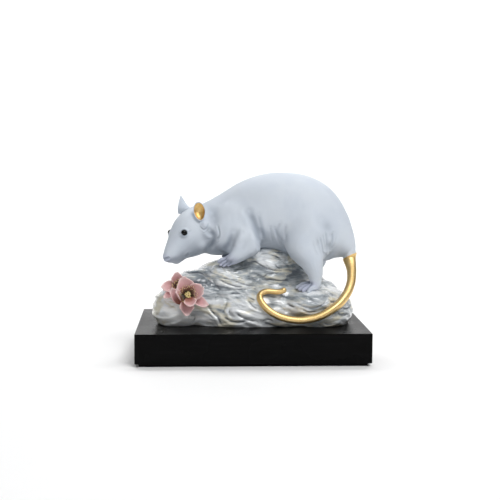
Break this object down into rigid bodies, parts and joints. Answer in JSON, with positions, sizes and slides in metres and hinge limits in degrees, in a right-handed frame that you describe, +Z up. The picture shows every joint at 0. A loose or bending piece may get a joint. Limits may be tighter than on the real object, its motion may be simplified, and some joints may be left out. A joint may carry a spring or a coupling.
{
  "type": "rat figurine",
  "caption": "Porcelain figure of a rat climbing over a glazed rock with blossoms, its gilt tail curled in front, on a black lacquered plinth.",
  "frame": {"origin": "middle of the plinth's underside", "axes": "+Z up, +X from the rat's nose towards its tail, the rat's left flank and the blossoms towards -Y"},
  "size_m": [0.24, 0.16, 0.1939],
  "materials": {
    "glazed_porcelain": "matte blue-grey bisque rat, glazed grey marbled rock, pink blossoms, gilt tail",
    "black_lacquer": "satin black lacquer on wood"
  },
  "bodies": {
    "root": {"porcelain_group": "glazed_porcelain", "plinth": "black_lacquer"}
  },
  "joints": []
}
